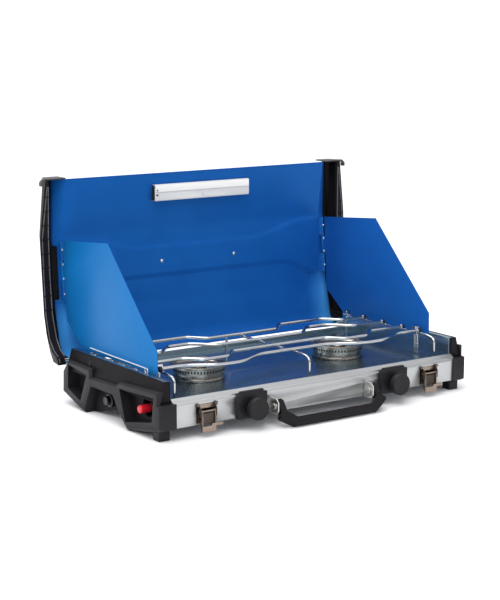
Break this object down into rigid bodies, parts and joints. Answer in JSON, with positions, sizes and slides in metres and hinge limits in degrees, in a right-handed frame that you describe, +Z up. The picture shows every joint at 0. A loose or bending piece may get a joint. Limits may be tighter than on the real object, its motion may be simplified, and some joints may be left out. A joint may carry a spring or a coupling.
{
  "type": "camping stove",
  "caption": "Suitcase gas stove for camping, lid open: round burners under a wire pan rack, wind shields, a light bar in the lid, front knobs, latches and a carrying handle.",
  "frame": {"origin": "centre of the bounding box, on the surface the stove stands on", "axes": "+Z up, the knobs and handle face -Y, +X to the right of someone standing in front"},
  "size_m": [0.676, 0.4594, 0.3937],
  "materials": {
    "aluminium_panel": "satin",
    "tray_steel": "polished",
    "black_plastic": "textured",
    "burner_steel": "satin",
    "ceramic": "glazed",
    "brass": "plain",
    "red_plastic": "gloss",
    "zinc": "zinc plated",
    "nickel": "nickel plated",
    "chrome_wire": "bright",
    "blue_paint": "satin",
    "white_plastic": "satin",
    "lens_plastic": "frosted"
  },
  "bodies": {
    "case": {"front_panel": "aluminium_panel", "rear_panel": "aluminium_panel", "bottom_panel": "tray_steel", "drip_tray": "tray_steel", "left_bumper": "black_plastic", "left_side_panel": "black_plastic", "left_foot": "black_plastic", "right_bumper": "black_plastic", "right_side_panel": "black_plastic", "right_foot": "black_plastic", "left_burner": "burner_steel", "left_burner_cap": "burner_steel", "left_mixing_tube": "tray_steel", "left_electrode": "ceramic", "left_valve": "brass", "right_burner": "burner_steel", "right_burner_cap": "burner_steel", "right_mixing_tube": "tray_steel", "right_electrode": "ceramic", "right_valve": "brass", "gas_pipe": "brass", "gas_inlet": "brass", "igniter_body": "black_plastic", "left_bezel": "black_plastic", "right_bezel": "black_plastic", "left_handle_bracket": "zinc", "left_handle_pin": "zinc", "right_handle_bracket": "zinc", "right_handle_pin": "zinc", "left_latch_plate": "nickel", "right_latch_plate": "nickel", "left_hinge_bracket": "zinc", "left_hinge_pin": "zinc", "right_hinge_bracket": "zinc", "right_hinge_pin": "zinc"},
    "lid": {"lid_panel": "blue_paint", "left_lid_end": "black_plastic", "right_lid_end": "black_plastic", "left_lid_stud": "chrome_wire", "right_lid_stud": "chrome_wire", "left_shield_hinge": "blue_paint", "right_shield_hinge": "blue_paint", "left_shield_pin": "tray_steel", "right_shield_pin": "tray_steel", "light_bar": "white_plastic", "light_lens": "lens_plastic"},
    "handle_body": {"handle": "black_plastic"},
    "inlet_cap_body": {"inlet_cap": "red_plastic"},
    "igniter_button_body": {"igniter_button": "black_plastic"},
    "pan_rack_body": {"pan_rack": "chrome_wire"},
    "light_button_body": {"light_button": "white_plastic"},
    "left_shield_body": {"left_shield": "blue_paint"},
    "right_shield_body": {"right_shield": "blue_paint"},
    "left_knob_body": {"left_knob": "black_plastic"},
    "right_knob_body": {"right_knob": "black_plastic"},
    "left_latch_lever_body": {"left_latch_lever": "nickel"},
    "left_latch_hook_body": {"left_latch_hook": "nickel"},
    "right_latch_lever_body": {"right_latch_lever": "nickel"},
    "right_latch_hook_body": {"right_latch_hook": "nickel"}
  },
  "joints": [
    {"name": "left_knob_turn", "type": "hinge", "parent": "case", "child": "left_knob_body", "pos_m": [-0.152, -0.20835, 0.0385], "axis": [0, -1, 0], "range_deg": [0, 240]},
    {"name": "left_latch_lever_swing", "type": "hinge", "parent": "case", "child": "left_latch_lever_body", "pos_m": [-0.238, -0.18835, 0.0435], "axis": [1, 0, 0], "range_deg": [-110, 0]},
    {"name": "left_latch_hook_swing", "type": "hinge", "parent": "left_latch_lever_body", "child": "left_latch_hook_body", "pos_m": [-0.238, -0.18835, 0.0255], "axis": [1, 0, 0], "range_deg": [0, 90]},
    {"name": "left_shield_fold", "type": "hinge", "parent": "lid", "child": "left_shield_body", "pos_m": [-0.292, 0.20265, 0.2645], "axis": [0, 0.0817, 0.9967], "range_deg": [-0.9, 0.9]},
    {"name": "right_knob_turn", "type": "hinge", "parent": "case", "child": "right_knob_body", "pos_m": [0.152, -0.20835, 0.0385], "axis": [0, -1, 0], "range_deg": [0, 240]},
    {"name": "right_latch_lever_swing", "type": "hinge", "parent": "case", "child": "right_latch_lever_body", "pos_m": [0.238, -0.18835, 0.0435], "axis": [1, 0, 0], "range_deg": [-110, 0]},
    {"name": "right_latch_hook_swing", "type": "hinge", "parent": "right_latch_lever_body", "child": "right_latch_hook_body", "pos_m": [0.238, -0.18835, 0.0255], "axis": [1, 0, 0], "range_deg": [0, 90]},
    {"name": "right_shield_fold", "type": "hinge", "parent": "lid", "child": "right_shield_body", "pos_m": [0.292, 0.20265, 0.2645], "axis": [0, 0.0817, 0.9967], "range_deg": [-0.9, 0.9]},
    {"name": "handle_swing", "type": "hinge", "parent": "case", "child": "handle_body", "pos_m": [0, -0.19935, 0.035], "axis": [1, 0, 0], "range_deg": [-120, 0]},
    {"name": "lid_hinge", "type": "hinge", "parent": "case", "child": "lid", "pos_m": [0, 0.15065, 0.0765], "axis": [1, 0, 0], "range_deg": [0, 7]},
    {"name": "inlet_cap_pull", "type": "slide", "parent": "case", "child": "inlet_cap_body", "axis": [-1, 0, 0], "range_m": [0, 0.03]},
    {"name": "igniter_press", "type": "slide", "parent": "case", "child": "igniter_button_body", "axis": [1, 0, 0], "range_m": [0, 0.005], "stiffness_N_per_m": 800, "springref_m": -0.002},
    {"name": "light_button_press", "type": "slide", "parent": "lid", "child": "light_button_body", "axis": [0, 1, 0], "range_m": [0, 0.001], "stiffness_N_per_m": 1200, "springref_m": -0.0005},
    {"name": "rack_lift", "type": "slide", "parent": "case", "child": "pan_rack_body", "axis": [0, 0, 1], "range_m": [0, 0.1]}
  ]
}
